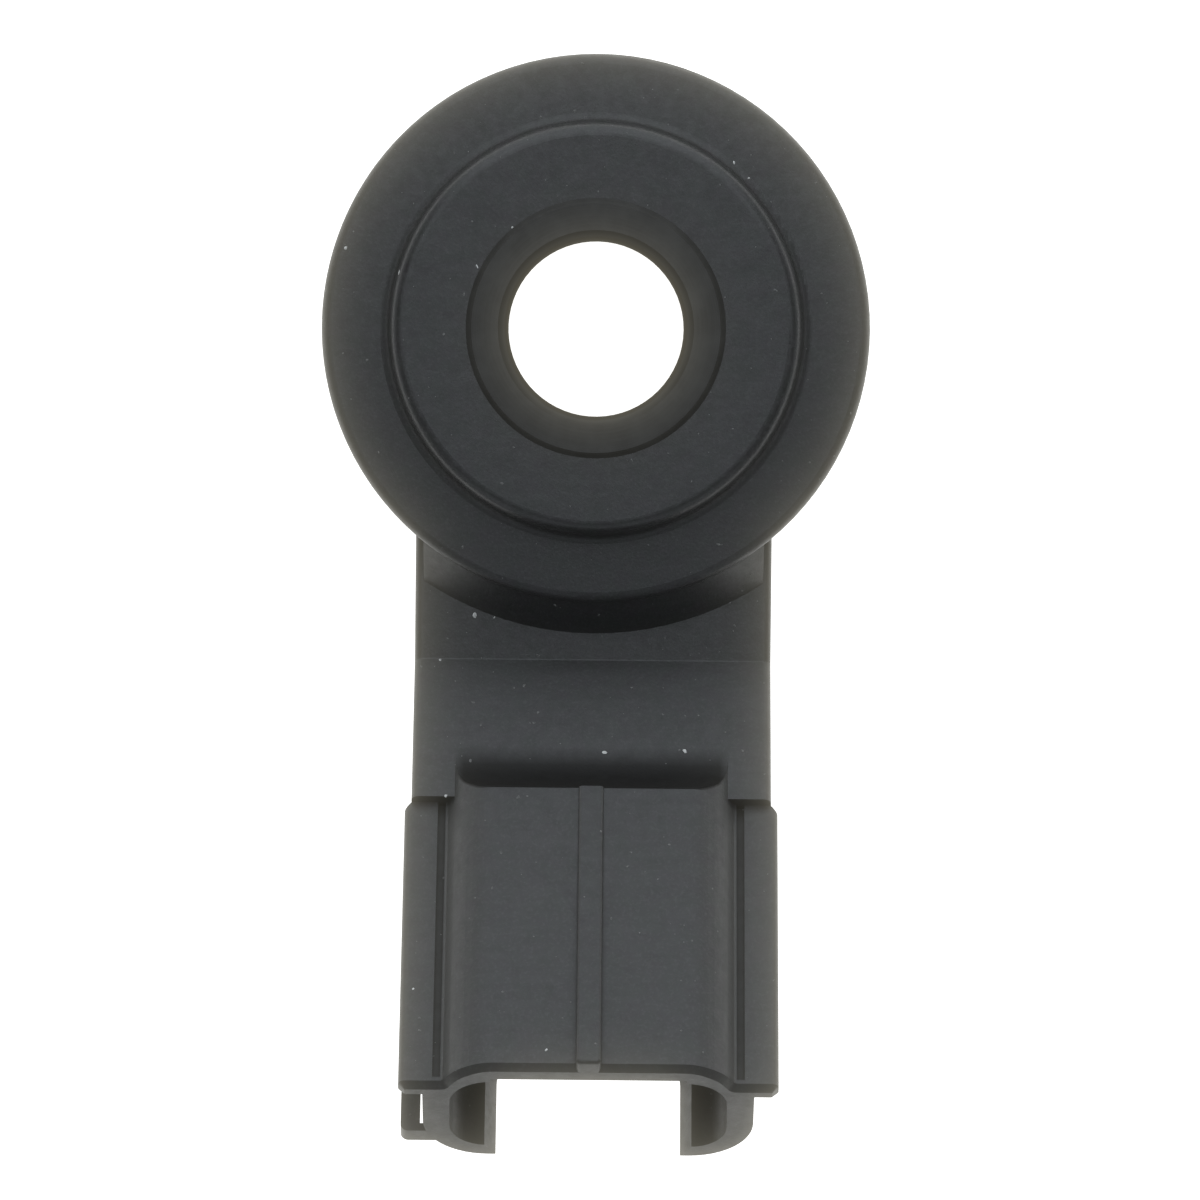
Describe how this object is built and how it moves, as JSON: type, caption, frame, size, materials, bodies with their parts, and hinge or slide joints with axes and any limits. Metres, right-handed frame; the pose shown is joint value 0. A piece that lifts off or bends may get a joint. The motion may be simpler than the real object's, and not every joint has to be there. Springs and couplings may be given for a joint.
{
  "type": "knock sensor",
  "caption": "Ring-shaped knock sensor: moulded disc on a steel bolt sleeve, and a rising two-pin connector with side wings, a roof rib and an open latch notch.",
  "frame": {"origin": "on the axis of the bolt hole, in the plane of the steel seat face", "axes": "+Z along the bolt hole, away from the engine block; the connector points to -Y and rises"},
  "size_m": [0.0254, 0.0504, 0.0277],
  "materials": {
    "moulding": "matte, glass-filled",
    "sleeve_steel": "dark phosphated",
    "insulation": "film",
    "contact_brass": "stamped",
    "piezo": "silvered ceramic",
    "mass_steel": "turned",
    "spring_steel": "blued",
    "terminal_tin": "tinned",
    "resistor": "lacquered"
  },
  "bodies": {
    "root": {"housing": "moulding", "bolt_sleeve": "sleeve_steel", "insulating_tube": "insulation", "lower_insulator": "insulation", "upper_insulator": "insulation", "lower_contact_plate": "contact_brass", "upper_contact_plate": "contact_brass", "piezo_ring": "piezo", "seismic_mass": "mass_steel", "disc_spring": "spring_steel", "ring_nut": "mass_steel", "terminal_left": "terminal_tin", "terminal_right": "terminal_tin", "shunt_resistor": "resistor"}
  },
  "joints": []
}
